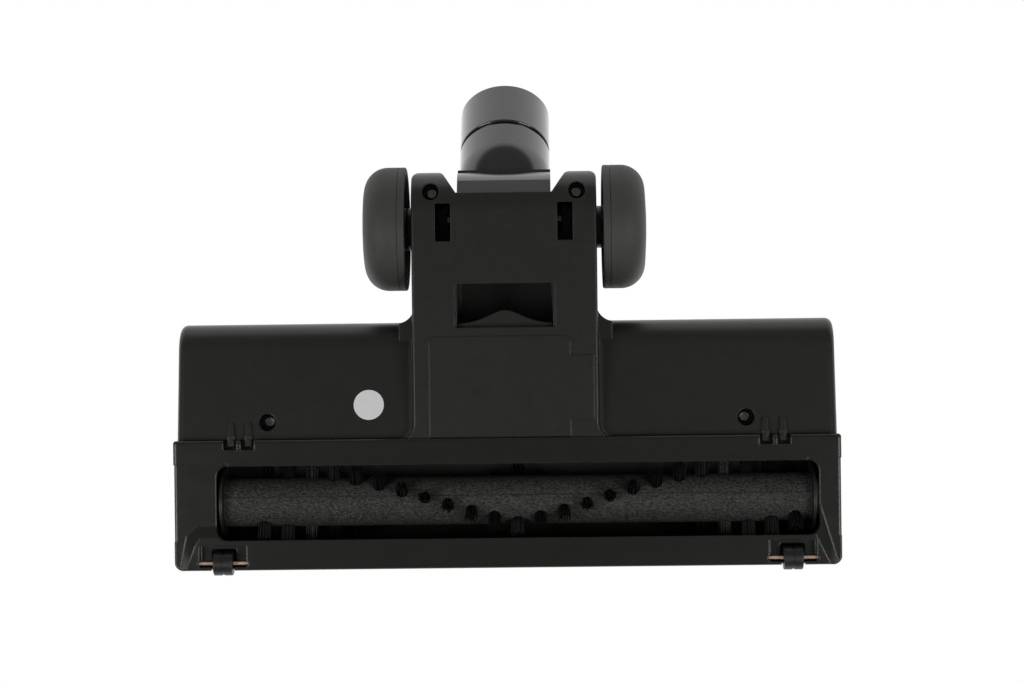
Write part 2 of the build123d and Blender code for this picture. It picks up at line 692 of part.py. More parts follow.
def bush(wall, y, z, seat_radius, bore_radius):
    """Bush with a flange on each side of the wall that holds it."""
    left = wall[1] + SEAT_FIT
    right = wall[0] - SEAT_FIT
    body = rod(seat_radius, right, left, y, z)
    body += rod(seat_radius + BUSH_LIP, left, left + BUSH_FLANGE, y, z)
    body += rod(seat_radius + BUSH_LIP, right - BUSH_FLANGE, right, y, z)
    return body - rod(bore_radius + RUNNING_FIT, right - 2 * BUSH_FLANGE, left + 2 * BUSH_FLANGE, y, z)


def tuft_places():
    """Place along the roll and angle from straight down of every bristle tuft, in two V-shaped rows."""
    places = []
    for row in (0, 180):
        for step in range(-tufts_right, tufts_left + 1):
            angle = TUFT_START + TUFT_TURN * abs(step) + row
            places.append((roll_middle + step * TUFT_PITCH, angle))
    return places


def on_roll(x, angle, shape):
    """Turn a shape that stands on the Z axis to point out of the roll at an angle from straight down."""
    return Pos(x, roll_y, roll_z) * Rot(180 + angle, 0, 0) * shape


def tuft_seat():
    """Distance of a tuft's root from the roll's axis."""
    return ROLL_RADIUS - TUFT_SEAT_DEPTH


def brush_roll():
    """Moulded core of the roll, with blind holes for the tufts and a parting groove along it."""
    core = rod(ROLL_RADIUS, roll_right, roll_left, roll_y, roll_z)
    core -= rod(BRUSH_AXLE_RADIUS + SEAT_FIT, roll_right, roll_left, roll_y, roll_z)
    depth = TUFT_SEAT_DEPTH + ROLL_GROOVE
    hole = Pos(0, 0, tuft_seat() + depth / 2) * Cylinder(TUFT_ROOT_RADIUS + SEAT_FIT, depth)
    cuts = [on_roll(x, angle, hole) for x, angle in tuft_places()]
    groove = Pos(0, 0, ROLL_RADIUS) * Box(roll_left - roll_right, ROLL_GROOVE, 2 * ROLL_GROOVE)
    cuts.append(on_roll(roll_middle, ROLL_GROOVE_ANGLE, groove))
    cuts.append(on_roll(roll_middle, ROLL_GROOVE_ANGLE + 180, groove))
    return core - cuts


def bristle_tufts():
    """Bristle tufts as plain cones, each seated in its hole."""
    length = TUFT_REACH - tuft_seat()
    tufts = []
    for x, angle in tuft_places():
        straight = Pos(0, 0, tuft_seat() + TUFT_SEAT_DEPTH / 2) * Cylinder(TUFT_ROOT_RADIUS, TUFT_SEAT_DEPTH)
        free = length - TUFT_SEAT_DEPTH
        flared = Pos(0, 0, ROLL_RADIUS + free / 2) * Cone(TUFT_ROOT_RADIUS, TUFT_TIP_RADIUS, free)
        tufts.append(on_roll(x, angle, straight + flared))
    return Compound(children=[tuft.solid() for tuft in tufts])


def end_disc(x_from, x_to):
    """Thread guard disc at an end of the roll."""
    disc = rod(DISC_RADIUS, x_from, x_to, roll_y, roll_z)
    disc = fillet(disc.edges(), DISC_THICK / 4)
    return disc - rod(BRUSH_AXLE_RADIUS + SEAT_FIT, x_from, x_to, roll_y, roll_z)


def grooved_pulley(radius, bore_radius, y, z):
    """Flat pulley with a lip on each side of the belt."""
    half = BELT_WIDTH / 2 + BELT_GAP
    lip_radius = radius + BELT_GAP + BELT_THICK + BELT_GAP
    body = rod(radius, belt_middle - half, belt_middle + half, y, z)
    for x_from in (belt_middle - half - PULLEY_LIP, belt_middle + half):
        body += rod(lip_radius, x_from, x_from + PULLEY_LIP, y, z)
    return body - rod(bore_radius + SEAT_FIT, belt_middle - BELT_WIDTH, belt_middle + BELT_WIDTH, y, z)


def drive_belt():
    """Flat belt round the brush pulley and the drive pinion."""
    edges = []
    for gap in (BELT_GAP, BELT_GAP + BELT_THICK):
        ends = Pos(roll_y, roll_z) * Circle(PULLEY_RADIUS + gap)
        ends += Pos(turbine_y, parting_z) * Circle(PINION_RADIUS + gap)
        edges.append(make_hull(ends.edges()))
    loop = edges[1] - edges[0]
    return extrude(Plane.YZ.offset(belt_middle - BELT_WIDTH / 2) * loop, amount=BELT_WIDTH)


def turbine_rotor():
    """Air turbine: hub, middle disc and curved blades."""
    half = TURBINE_WIDTH / 2
    hub = rod(HUB_RADIUS, -half, half, turbine_y, parting_z)
    disc = rod(TURBINE_RADIUS - BLADE_THICK, -BLADE_THICK, BLADE_THICK, turbine_y, parting_z)
    root = (HUB_RADIUS - BLADE_THICK, 0)
    bend = ((HUB_RADIUS + TURBINE_RADIUS) / 2, BLADE_BEND)
    tip = (TURBINE_RADIUS - BLADE_THICK, 0)
    section = trace(ThreePointArc(root, bend, tip), BLADE_THICK)
    blade = extrude(Plane.YZ.offset(-half) * section, amount=2 * half)
    turns = [Rot(turn * 360 / BLADE_COUNT, 0, 0) * blade for turn in range(BLADE_COUNT)]
    wheel = hub + disc
    for turn in turns:
        wheel += Pos(0, turbine_y, parting_z) * turn
    return wheel - rod(SHAFT_RADIUS + SEAT_FIT, -half, half, turbine_y, parting_z)


def air_nozzle():
    """Plate behind the chamber's opening with the slot that aims the air at the turbine."""
    half = chamber_half - SEAM
    low = sole_top + WALL
    face = partition_rear_y + NOZZLE_THICK
    plate = slab(-half, half, partition_rear_y, face, low, nozzle_top + NOZZLE_LAND)
    slot_half = nozzle_half - NOZZLE_LAND
    slot_top = nozzle_top - NOZZLE_LAND
    slot = slab(-slot_half, slot_half, front_y, wing_rear_y, nozzle_top - NOZZLE_SLOT, slot_top)
    return plate - slot


def air_guide():
    """Lip of the turbine's outlet, with a bell-shaped edge over the throat window."""
    inner = outlet_half - SEAM
    wide = ear_wall_half - SEAM
    near = window_front_y + SEAM
    edge = near + GUIDE_REACH
    swell = Spline((-wide, edge), (0, edge + GUIDE_SWELL), (wide, edge), tangents=((1, 0), (1, 0)))
    tail = near - GUIDE_TAIL
    outline = swell + Polyline((wide, edge), (wide, near), (inner, near), (inner, tail))
    outline += Polyline((inner, tail), (-inner, tail), (-inner, near), (-wide, near), (-wide, edge))
    return extrude(Pos(0, 0, guide_z) * make_face(outline.edges()), amount=GUIDE_THICK)


def rear_wheel():
    """Left rear wheel: thick skin with a rounded shoulder, open towards the ear, on a long hub."""
    rim = WHEEL_WIDTH - WHEEL_CROWN
    outline = [
        (0, 0),
        (0, WHEEL_RADIUS),
        (rim, WHEEL_RADIUS),
        (WHEEL_WIDTH, HUB_FACE_RADIUS),
        (WHEEL_WIDTH, 0),
    ]
    radii = [0, WHEEL_EDGE, WHEEL_SHOULDER, WHEEL_RADIUS, 0]
    wheel = revolve(make_face(FilletPolyline(*outline, radius=radii, close=True)), Axis.X)
    room = [
        (-WHEEL_GAP, AXLE_BOSS_RADIUS),
        (-WHEEL_GAP, WHEEL_RADIUS - WHEEL_SKIN),
        (rim - WHEEL_SKIN, WHEEL_RADIUS - WHEEL_SKIN),
        (rim - WHEEL_SKIN, AXLE_BOSS_RADIUS),
    ]
    room_radii = [0, 0, WHEEL_SHOULDER - WHEEL_SKIN, WHEEL_EDGE]
    wheel -= revolve(make_face(FilletPolyline(*room, radius=room_radii, close=True)), Axis.X)
    seam_from = WHEEL_SKIN
    groove = rod(WHEEL_RADIUS, seam_from, seam_from + SEAM, 0, 0)
    wheel -= groove - rod(WHEEL_RADIUS - SEAM, seam_from, seam_from + SEAM, 0, 0)
    wheel = Pos(wheel_in, wheel_y, parting_z) * wheel
    wheel -= rod(AXLE_RADIUS + RUNNING_FIT, wheel_in, axle_snap + WALL, wheel_y, parting_z)
    snap_room = AXLE_RADIUS + AXLE_HEAD + RUNNING_FIT
    return wheel - rod(snap_room, axle_snap, axle_snap + 2 * WALL, wheel_y, parting_z)


def wheel_axle():
    """Left stub axle: pin with a collar inside the ear and a snap head inside the wheel."""
    axle = rod(AXLE_RADIUS, rib_x - WALL / 2, axle_snap + WALL, wheel_y, parting_z)
    collar = rib_x + WALL + SEAM
    axle += rod(AXLE_RADIUS + WALL, collar, collar + WALL, wheel_y, parting_z)
    head = axle_snap + RUNNING_FIT
    return axle + rod(AXLE_RADIUS + AXLE_HEAD, head, head + WALL, wheel_y, parting_z)


def front_roller():
    """Left front roller, with a shallow groove round its middle."""
    x = roller_x
    half = ROLLER_WIDTH / 2
    roller = rod(ROLLER_RADIUS, x - half, x + half, roller_y, ROLLER_RADIUS)
    roller = fillet(roller.edges(), ROLLER_EDGE)
    groove = rod(ROLLER_RADIUS, x - ROLLER_EDGE, x + ROLLER_EDGE, roller_y, ROLLER_RADIUS)
    roller -= groove - rod(ROLLER_RADIUS - ROLLER_EDGE / 2, x - half, x + half, roller_y, ROLLER_RADIUS)
    return roller - rod(ROLLER_PIN_RADIUS + RUNNING_FIT, x - half, x + half, roller_y, ROLLER_RADIUS)


def roller_pin():
    """Pin of the left front roller, pressed into its seats in the sole frame."""
    x = roller_x
    half = ROLLER_RECESS_WIDTH / 2 + PIN_SEAT
    return rod(ROLLER_PIN_RADIUS, x - half, x + half, roller_y, ROLLER_RADIUS)


def elbow_form():
    """Outer form of the elbow: hinge drum, and a tube whose lower side is rounded off above the drum."""
    half = DRUM_WIDTH / 2
    form = rod(DRUM_RADIUS, -half, half, hinge_y, parting_z)
    flat_z = DRUM_FLAT_DEPTH / 2 - DRUM_RADIUS
    flat = Pos(0, 0, flat_z) * Box(DRUM_WIDTH, 2 * DRUM_RADIUS, DRUM_FLAT_DEPTH)
    form -= Pos(0, hinge_y, parting_z) * Rot(DRUM_FLAT_ANGLE, 0, 0) * flat
    lip_rear = hinge_y + DRUM_RADIUS + DRUM_LIP
    form += slab(-half, half, lip_rear - 2 * WALL, lip_rear, parting_z - WALL, parting_z + WALL / 2)
    form += rod(TRUNNION_RADIUS, -half - TRUNNION_LENGTH, half + TRUNNION_LENGTH, hinge_y, parting_z)
    tube_length = ELBOW_LENGTH - BEND_SETBACK
    tube = Pos(0, 0, BEND_SETBACK + tube_length / 2) * Cylinder(TUBE_RADIUS, tube_length)
    upper_side = slab(-TUBE_RADIUS, TUBE_RADIUS, -TUBE_RADIUS, 0, 0, BEND_SETBACK)
    lower_side = slab(-TUBE_RADIUS, TUBE_RADIUS, 0, TUBE_RADIUS, 0, BEND_SETBACK)
    upper = Pos(0, 0, BEND_SETBACK / 2) * Cylinder(TUBE_RADIUS, BEND_SETBACK) & upper_side
    bend = Pos(0, 0, BEND_SETBACK) * Sphere(TUBE_RADIUS) & lower_side
    return form + on_neck(tube + upper + bend)


def neck_elbow():
    """Tilting elbow: drum between the ears with two trunnions, and the lower half of the tube."""
    elbow = elbow_form()
    bore = SOCKET_RADIUS + SLEEVE_WALL + RUNNING_FIT
    seat = ELBOW_LENGTH - SLEEVE_LENGTH - SLEEVE_ROOM
    stop = SOCKET_RADIUS - SOCKET_STOP
    throat = seat - 3 * WALL
    elbow -= on_neck(Pos(0, 0, seat + ELBOW_LENGTH / 2) * Cylinder(bore, ELBOW_LENGTH))
    elbow -= on_neck(Pos(0, 0, throat + ELBOW_LENGTH / 2) * Cylinder(stop, ELBOW_LENGTH))
    elbow -= on_neck(Pos(0, 0, ELBOW_LENGTH / 2) * Cylinder(BEND_PASSAGE, ELBOW_LENGTH))
    groove = SOCKET_RADIUS + SLEEVE_WALL + RING_DEPTH + RUNNING_FIT
    elbow -= on_neck(Pos(0, 0, ring_middle) * Cylinder(groove, RING_WIDTH + 2 * RUNNING_FIT))
    room_half = DRUM_WIDTH / 2 - WALL
    reach = DRUM_RADIUS - WALL
    mouth_front = hinge_y - 2 * DRUM_RADIUS
    mouth_rear = hinge_y - DRUM_MOUTH
    elbow -= rod(reach, -room_half, room_half, hinge_y, parting_z)
    return elbow - slab(-room_half, room_half, mouth_front, mouth_rear, parting_z - reach, parting_z + reach)


def wand_collar():
    """Turning collar with the wand socket, and the sleeve that holds it in the elbow."""
    start = ELBOW_LENGTH + COLLAR_SEAM
    length = COLLAR_LENGTH - COLLAR_SEAM
    collar = Pos(0, 0, start + length / 2) * Cylinder(TUBE_RADIUS, length)
    collar = fillet(collar.edges(), COLLAR_EDGE)
    sleeve_radius = SOCKET_RADIUS + SLEEVE_WALL
    sleeve_start = ELBOW_LENGTH - SLEEVE_LENGTH
    sleeve_length = SLEEVE_LENGTH + COLLAR_SEAM + COLLAR_EDGE
    collar += Pos(0, 0, sleeve_start + sleeve_length / 2) * Cylinder(sleeve_radius, sleeve_length)
    groove_width = RING_WIDTH + 2 * SEAT_FIT
    groove = Cylinder(sleeve_radius, groove_width) - Cylinder(sleeve_radius - RING_DEPTH, groove_width)
    collar -= Pos(0, 0, ring_middle) * groove
    socket_start = sleeve_start + SOCKET_STOP
    collar -= Pos(0, 0, socket_start + neck_length / 2) * Cylinder(SOCKET_RADIUS, neck_length)
    collar -= Pos(0, 0, neck_length / 2) * Cylinder(SOCKET_RADIUS - SOCKET_STOP, neck_length)
    return on_neck(collar)


def collar_ring():
    """Ring in the sleeve's groove that keeps the collar in the elbow."""
    outer = SOCKET_RADIUS + SLEEVE_WALL + RING_DEPTH
    inner = SOCKET_RADIUS + SLEEVE_WALL - RING_DEPTH + SEAT_FIT
    return on_neck(Pos(0, 0, ring_middle) * (Cylinder(outer, RING_WIDTH) - Cylinder(inner, RING_WIDTH)))


def housing_screws():
    """Four pan-head screws with cross recesses, heads down."""
    screws = []
    for x, y, seat in screw_places():
        head = post(SCREW_HEAD_RADIUS, seat - SCREW_HEAD_HEIGHT, seat, x, y)
        head = fillet(head.faces().sort_by(Axis.Z)[0].edges(), SCREW_CROSS)
        shank = post(SCREW_SHANK_RADIUS, seat, seat + SCREW_LENGTH, x, y)
        cross = Box(2 * SCREW_SHANK_RADIUS, SCREW_CROSS, 2 * SCREW_CROSS)
        cross += Box(SCREW_CROSS, 2 * SCREW_SHANK_RADIUS, 2 * SCREW_CROSS)
        recess = Pos(x, y, seat - SCREW_HEAD_HEIGHT) * cross
        screws.append((head + shank - recess).solid())
    return Compound(children=screws)


def dot_sticker():
    """Round white sticker on the left wing's floor."""
    y = front_y + STICKER_SETBACK
    place = Pos(STICKER_X, y, wing_floor_z(y)) * Rot(WING_FLOOR_SLOPE, 0, 0)
    return place * Pos(0, 0, -STICKER_THICK / 2) * Cylinder(STICKER_RADIUS, STICKER_THICK)


def pair(name, shape):
    """A left piece and its mirror image on the right."""
    return {f"{name}_left": shape, f"{name}_right": mirror(shape, about=Plane.YZ)}


housing_hollow = wing_hollow() + throat_hollow()
walls = inner_walls()
holes = pivot_holes()
chamber_walls = {"left": (chamber_half, chamber_half + WALL), "right": (-chamber_half - WALL, -chamber_half)}
shaft_right = -chamber_half - WALL - 2 * BUSH_FLANGE

pieces = {
    "lower_housing": lower_housing(),
    "top_cover": top_cover(),
    "sole_frame": sole_frame(),
    "brush_roll": brush_roll(),
    "bristle_tufts": bristle_tufts(),
    "brush_axle": rod(BRUSH_AXLE_RADIUS, axle_right, pulley_left, roll_y, roll_z),
    "brush_end_disc_left": end_disc(roll_left, roll_left + DISC_THICK),
    "brush_end_disc_right": end_disc(roll_right - DISC_THICK, roll_right),
    "brush_bearing_left": bush(belt_wall, roll_y, roll_z, BRUSH_SEAT_RADIUS, BRUSH_AXLE_RADIUS),
    "brush_bearing_right": bush(free_wall, roll_y, roll_z, BRUSH_SEAT_RADIUS, BRUSH_AXLE_RADIUS),
    "brush_pulley": grooved_pulley(PULLEY_RADIUS, BRUSH_AXLE_RADIUS, roll_y, roll_z),
    "drive_pinion": grooved_pulley(PINION_RADIUS, SHAFT_RADIUS, turbine_y, parting_z),
    "drive_belt": drive_belt(),
    "turbine_rotor": turbine_rotor(),
    "turbine_shaft": rod(SHAFT_RADIUS, shaft_right, pulley_left, turbine_y, parting_z),
    "shaft_bearing": bush(belt_wall, turbine_y, parting_z, SHAFT_SEAT_RADIUS, SHAFT_RADIUS),
    "air_nozzle": air_nozzle(),
    "air_guide": air_guide(),
    "neck_elbow": neck_elbow(),
    "wand_collar": wand_collar(),
    "collar_ring": collar_ring(),
    "housing_screws": housing_screws(),
    "dot_sticker": dot_sticker(),
    **pair("wheel", rear_wheel()),
    **pair("wheel_axle", wheel_axle()),
    **pair("roller", front_roller()),
    **pair("roller_pin", roller_pin()),
}
for side, wall in chamber_walls.items():
    pieces[f"turbine_bearing_{side}"] = bush(wall, turbine_y, parting_z, SHAFT_SEAT_RADIUS, SHAFT_RADIUS)

os.makedirs("parts", exist_ok=True)
for name, piece in pieces.items():
    piece.label = name
    export_step(piece, f"parts/{name}.step")
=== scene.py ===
import math
import random

import bpy
from mathutils import Matrix, Vector


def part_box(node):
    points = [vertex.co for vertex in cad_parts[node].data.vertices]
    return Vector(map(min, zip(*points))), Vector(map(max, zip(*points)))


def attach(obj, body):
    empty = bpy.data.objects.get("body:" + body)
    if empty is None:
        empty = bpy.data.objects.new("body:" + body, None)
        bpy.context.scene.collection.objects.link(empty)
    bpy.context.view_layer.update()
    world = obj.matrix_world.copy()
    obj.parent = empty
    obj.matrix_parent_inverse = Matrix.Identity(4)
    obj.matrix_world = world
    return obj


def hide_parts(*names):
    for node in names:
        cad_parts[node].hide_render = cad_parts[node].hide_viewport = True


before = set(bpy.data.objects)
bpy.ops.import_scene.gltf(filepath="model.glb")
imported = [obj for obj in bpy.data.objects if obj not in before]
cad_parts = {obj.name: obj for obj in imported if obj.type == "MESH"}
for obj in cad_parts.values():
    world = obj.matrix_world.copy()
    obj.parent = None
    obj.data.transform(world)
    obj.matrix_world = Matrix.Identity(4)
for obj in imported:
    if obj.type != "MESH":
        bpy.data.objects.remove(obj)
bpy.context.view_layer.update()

# The lower shell carries everything else. It is moulded in black plastic with a low gloss, and its wing
# floors, throat plate and ears come out of one mould. Four screws pull it against the top cover.


class Socket:
    """An output of a shader node, for plain arithmetic in Python."""

    def __init__(self, tree, output=None):
        self.tree = tree
        self.output = output

    def node(self, kind, settings=None, inputs=None, output=0):
        """Add a node with its settings and inputs, and return one of its outputs."""
        node = self.tree.nodes.new(kind)
        for name, value in (settings or {}).items():
            setattr(node, name, value)
        for name, value in (inputs or {}).items():
            if isinstance(value, Socket):
                self.tree.links.new(value.output, node.inputs[name])
            else:
                node.inputs[name].default_value = value
        return Socket(self.tree, node.outputs[output] if node.outputs else None)

    def math(self, operation, first, second):
        return self.node("ShaderNodeMath", {"operation": operation}, {0: first, 1: second})

    def __add__(self, other):
        return self.math("ADD", self, other)

    def __mul__(self, other):
        return self.math("MULTIPLY", self, other)

    def __rsub__(self, other):
        return self.math("SUBTRACT", other, self)

    __radd__ = __add__
    __rmul__ = __mul__

    def place(self, scale=(1.0, 1.0, 1.0)):
        """Object coordinates, stretched by a scale on each axis."""
        here = self.node("ShaderNodeTexCoord", output="Object")
        return self.node("ShaderNodeMapping", {}, {"Vector": here, "Scale": scale})

    def noise(self, where, scale, detail=3.0):
        inputs = {"Vector": where, "Scale": scale, "Detail": detail}
        return self.node("ShaderNodeTexNoise", {}, inputs, "Fac")

    def ramp(self, low, high):
        """Stretch the values from low to high over 0 to 1."""
        return self.node("ShaderNodeMapRange", {}, {"Value": self, "From Min": low, "From Max": high})

    def tint(self, dark, pale):
        """Mix two colours by this value."""
        settings = {"data_type": "RGBA"}
        inputs = {"Factor": self, 6: (*dark, 1.0), 7: (*pale, 1.0)}
        return self.node("ShaderNodeMix", settings, inputs, 2)

    def bump(self, height, edge=0.0):
        """A normal from this value, as relief of a height in metres, over edges rounded by a radius."""
        inputs = {"Height": self, "Strength": 1.0, "Distance": height}
        if edge:
            inputs["Normal"] = self.node("ShaderNodeBevel", {"samples": 6}, {"Radius": edge})
        return self.node("ShaderNodeBump", {}, inputs)


def finish(name, colour, roughness, relief, **constants):
    """A material from its colour, roughness and relief, and the shader's constant values."""
    material = bpy.data.materials.new(name)
    material.use_nodes = True
    tree = material.node_tree
    tree.nodes.clear()
    start = Socket(tree)
    inputs = {key.replace("_", " "): value for key, value in constants.items()}
    inputs["Base Color"] = colour(start)
    inputs["Roughness"] = roughness(start)
    inputs["Normal"] = relief(start)
    shader = start.node("ShaderNodeBsdfPrincipled", {}, inputs)
    start.node("ShaderNodeOutputMaterial", {}, {"Surface": shader})
    return material


def dress(material, *names):
    """Give CAD nodes a finish."""
    for name in names:
        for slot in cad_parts[name].material_slots:
            slot.material = material


SHELL_DARK = (0.0135, 0.0135, 0.0115)
SHELL_PALE = (0.0180, 0.0180, 0.0155)
moulded_black = finish(
    "moulded_black",
    lambda s: s.noise(s.place(), 60.0).tint(SHELL_DARK, SHELL_PALE),
    lambda s: 0.27 + 0.10 * s.noise(s.place(), 240.0, 5.0),
    lambda s: s.noise(s.place(), 2600.0, 2.0).bump(0.000012, 0.0007),
    Specular_IOR_Level=0.42,
)
dress(moulded_black, "lower_housing", "top_cover", "air_guide")

# The sole frame is a separate moulding in the same plastic, polished by its mould and by the floor.
# It clips under the brush chamber and holds the front rollers.
SOLE_DARK = (0.0095, 0.0094, 0.0070)
SOLE_PALE = (0.0125, 0.0122, 0.0092)
polished_black = finish(
    "polished_black",
    lambda s: s.noise(s.place(), 45.0).tint(SOLE_DARK, SOLE_PALE),
    lambda s: 0.17 + 0.08 * s.noise(s.place((0.4, 1.0, 1.0)), 160.0, 4.0),
    lambda s: s.noise(s.place((0.4, 1.0, 1.0)), 700.0, 3.0).bump(0.000003, 0.0011),
    Specular_IOR_Level=0.5,
)
dress(polished_black, "sole_frame")

# The roll is a hollow core moulded in dull black plastic, streaked along its length where the melt
# flowed. Two thread guards and its pulley are fixed to the steel axle that runs through it.
ROLL_DARK = (0.011, 0.011, 0.0102)
ROLL_PALE = (0.088, 0.088, 0.083)
flow_streaked = finish(
    "flow_streaked",
    lambda s: s.noise(s.place((0.5, 1.0, 1.0)), 1700.0, 8.0).ramp(0.36, 0.80).tint(ROLL_DARK, ROLL_PALE),
    lambda s: 0.5 + 0.3 * s.noise(s.place((0.2, 1.0, 1.0)), 260.0, 6.0),
    lambda s: s.noise(s.place((0.5, 1.0, 1.0)), 1500.0, 6.0).bump(0.0002),
    Specular_IOR_Level=0.25,
)
dress(flow_streaked, "brush_roll")

GUARD_DARK = (0.006, 0.006, 0.006)
GUARD_PALE = (0.011, 0.011, 0.0105)
dull_black = finish(
    "dull_black",
    lambda s: s.noise(s.place(), 180.0).tint(GUARD_DARK, GUARD_PALE),
    lambda s: 0.3 + 0.2 * s.noise(s.place(), 420.0, 5.0),
    lambda s: s.noise(s.place(), 1500.0, 2.0).bump(0.00002),
)
dress(dull_black, "brush_end_disc_left", "brush_end_disc_right", "roller_left", "roller_right")

STEEL_DARK = (0.38, 0.38, 0.39)
STEEL_PALE = (0.52, 0.52, 0.53)
turned_steel = finish(
    "turned_steel",
    lambda s: s.noise(s.place((1.0, 0.1, 0.1)), 900.0).tint(STEEL_DARK, STEEL_PALE),
    lambda s: 0.24 + 0.14 * s.noise(s.place(), 700.0),
    lambda s: s.noise(s.place((1.0, 0.05, 0.05)), 2400.0).bump(0.000008),
    Metallic=1.0,
)
dress(turned_steel, "brush_axle", "turbine_shaft")

# The bristles are bundles of black nylon strands, punched into blind holes of the roll in two rows that
# run in a V. Each bundle spreads a little towards its trimmed tip.
STRANDS = 44
STRAND_RADIUS = 0.00022
STRAND_SIDES = 5
TUFT_ROOT = 0.0022
TUFT_SPREAD = 0.0027
TUFT_PITCH = 0.00995
TUFTS_LEFT = 11
TUFTS_RIGHT = 12
TUFT_START = math.radians(-53.0)
TUFT_TURN = math.radians(15.7)
TUFT_TIP = 0.0185
TUFT_DEPTH = 0.003
STRAND_RING_SHARE = 0.6
STRAND_TIP_SHARE = 0.6
GOLDEN_ANGLE = 2.39996
ROUND_JITTER = 0.3
LEAN_JITTER = 0.02
SHORTEST_STRAND = 0.955
strand_random = random.Random(7)
roll_low, roll_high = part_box("brush_roll")
roll_centre = (roll_low + roll_high) / 2
strand_root = (roll_high.z - roll_low.z) / 2 - TUFT_DEPTH
strand_length = TUFT_TIP - strand_root


def pick(piece, wanted):
    """Select the vertices of a piece that a test wants, ready for edit mode."""
    bpy.ops.object.select_all(action="DESELECT")
    piece.select_set(True)
    bpy.context.view_layer.objects.active = piece
    bpy.ops.object.mode_set(mode="EDIT")
    bpy.ops.mesh.select_all(action="DESELECT")
    bpy.ops.object.mode_set(mode="OBJECT")
    for vertex in piece.data.vertices:
        vertex.select = wanted(vertex.co)
    bpy.ops.object.mode_set(mode="EDIT")


def join(pieces, name):
    """Join pieces into the first one, and put its place into its mesh."""
    bpy.ops.object.select_all(action="DESELECT")
    for piece in pieces:
        piece.select_set(True)
    bpy.context.view_layer.objects.active = pieces[0]
    bpy.ops.object.join()
    pieces[0].name = name
    bpy.ops.object.transform_apply(location=True, rotation=True, scale=True)
    return pieces[0]


def copy_of(piece):
    """A copy with its own mesh."""
    twin = piece.copy()
    twin.data = piece.data.copy()
    bpy.context.scene.collection.objects.link(twin)
    return twin


bpy.ops.object.select_all(action="DESELECT")
bpy.ops.mesh.primitive_cylinder_add(
    vertices=STRAND_SIDES,
    radius=STRAND_RADIUS,
    depth=strand_length,
    location=(0, 0, strand_root + strand_length / 2),
)
strand = bpy.context.object
bpy.ops.object.transform_apply(location=True)
bpy.ops.object.mode_set(mode="EDIT")
bpy.ops.mesh.select_all(action="SELECT")
ring_height = strand_root + STRAND_RING_SHARE * strand_length
bpy.ops.mesh.bisect(plane_co=(0, 0, ring_height), plane_no=(0, 0, 1))
bpy.ops.object.mode_set(mode="OBJECT")
pick(strand, lambda co: co.z > TUFT_TIP - STRAND_RADIUS)
narrow = (STRAND_TIP_SHARE, STRAND_TIP_SHARE, 1.0)
bpy.ops.transform.resize(value=narrow, center_override=(0, 0, TUFT_TIP))
bpy.ops.object.mode_set(mode="OBJECT")
bpy.ops.object.shade_smooth_by_angle()

tufts = []
for row in (0.0, math.pi):
    for step in range(-TUFTS_RIGHT, TUFTS_LEFT + 1):
        strands = []
        for count in range(STRANDS):
            out = math.sqrt((count + 0.5) / STRANDS)
            round_tuft = count * GOLDEN_ANGLE + strand_random.uniform(-ROUND_JITTER, ROUND_JITTER)
            side = Vector((math.cos(round_tuft), math.sin(round_tuft), 0.0))
            lean = out * (TUFT_SPREAD - TUFT_ROOT) / strand_length
            lean += strand_random.uniform(-LEAN_JITTER, LEAN_JITTER)
            shorten = Matrix.Scale(strand_random.uniform(SHORTEST_STRAND, 1.0), 4, (0, 0, 1))
            tip = Matrix.Rotation(lean, 4, Vector((0, 0, 1)).cross(side))
            strands.append(Matrix.Translation(side * out * TUFT_ROOT) @ tip @ shorten)
        angle = math.pi + TUFT_START + TUFT_TURN * abs(step) + row
        place = Matrix.Translation(roll_centre + Vector((step * TUFT_PITCH, 0, 0)))
        turn = Matrix.Rotation(angle, 4, "X")
        for matrix in strands:
            twin = copy_of(strand)
            twin.matrix_world = place @ turn @ matrix
            tufts.append(twin)
bristles = join(tufts, "bristles")
bpy.data.objects.remove(strand)

NYLON_DARK = (0.0035, 0.0035, 0.0035)
NYLON_PALE = (0.0095, 0.0095, 0.009)
black_nylon = finish(
    "black_nylon",
    lambda s: s.noise(s.place(), 900.0).tint(NYLON_DARK, NYLON_PALE),
    lambda s: 0.20 + 0.15 * s.noise(s.place(), 1400.0),
    lambda s: s.noise(s.place(), 3000.0).bump(0.000006),
    Specular_IOR_Level=0.7,
)
bristles.data.materials.append(black_nylon)
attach(bristles, "brush")
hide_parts("bristle_tufts")

# The turbine's bushes are flanged sleeves of oiled sintered bronze, each held in a wall of the housing.
# The fine grain of the pressed powder shows on them.
BRONZE_DARK = (0.30, 0.21, 0.10)
BRONZE_PALE = (0.46, 0.34, 0.18)
sintered_bronze = finish(
    "sintered_bronze",
    lambda s: s.noise(s.place(), 1200.0, 6.0).tint(BRONZE_DARK, BRONZE_PALE),
    lambda s: 0.38 + 0.22 * s.noise(s.place(), 1600.0),
    lambda s: s.noise(s.place(), 2800.0, 4.0).bump(0.00002),
    Metallic=1.0,
)
dress(sintered_bronze, "shaft_bearing", "turbine_bearing_left", "turbine_bearing_right")

# The roll itself runs in plastic bushes, a black one beside the belt and a white one at the free end.
# The white one is natural acetal.
ACETAL_DARK = (0.66, 0.66, 0.64)
ACETAL_PALE = (0.78, 0.78, 0.76)
white_acetal = finish(
    "white_acetal",
    lambda s: s.noise(s.place(), 600.0).tint(ACETAL_DARK, ACETAL_PALE),
    lambda s: 0.36 + 0.14 * s.noise(s.place(), 900.0),
    lambda s: s.noise(s.place(), 2500.0).bump(0.00001),
)
dress(white_acetal, "brush_bearing_right")

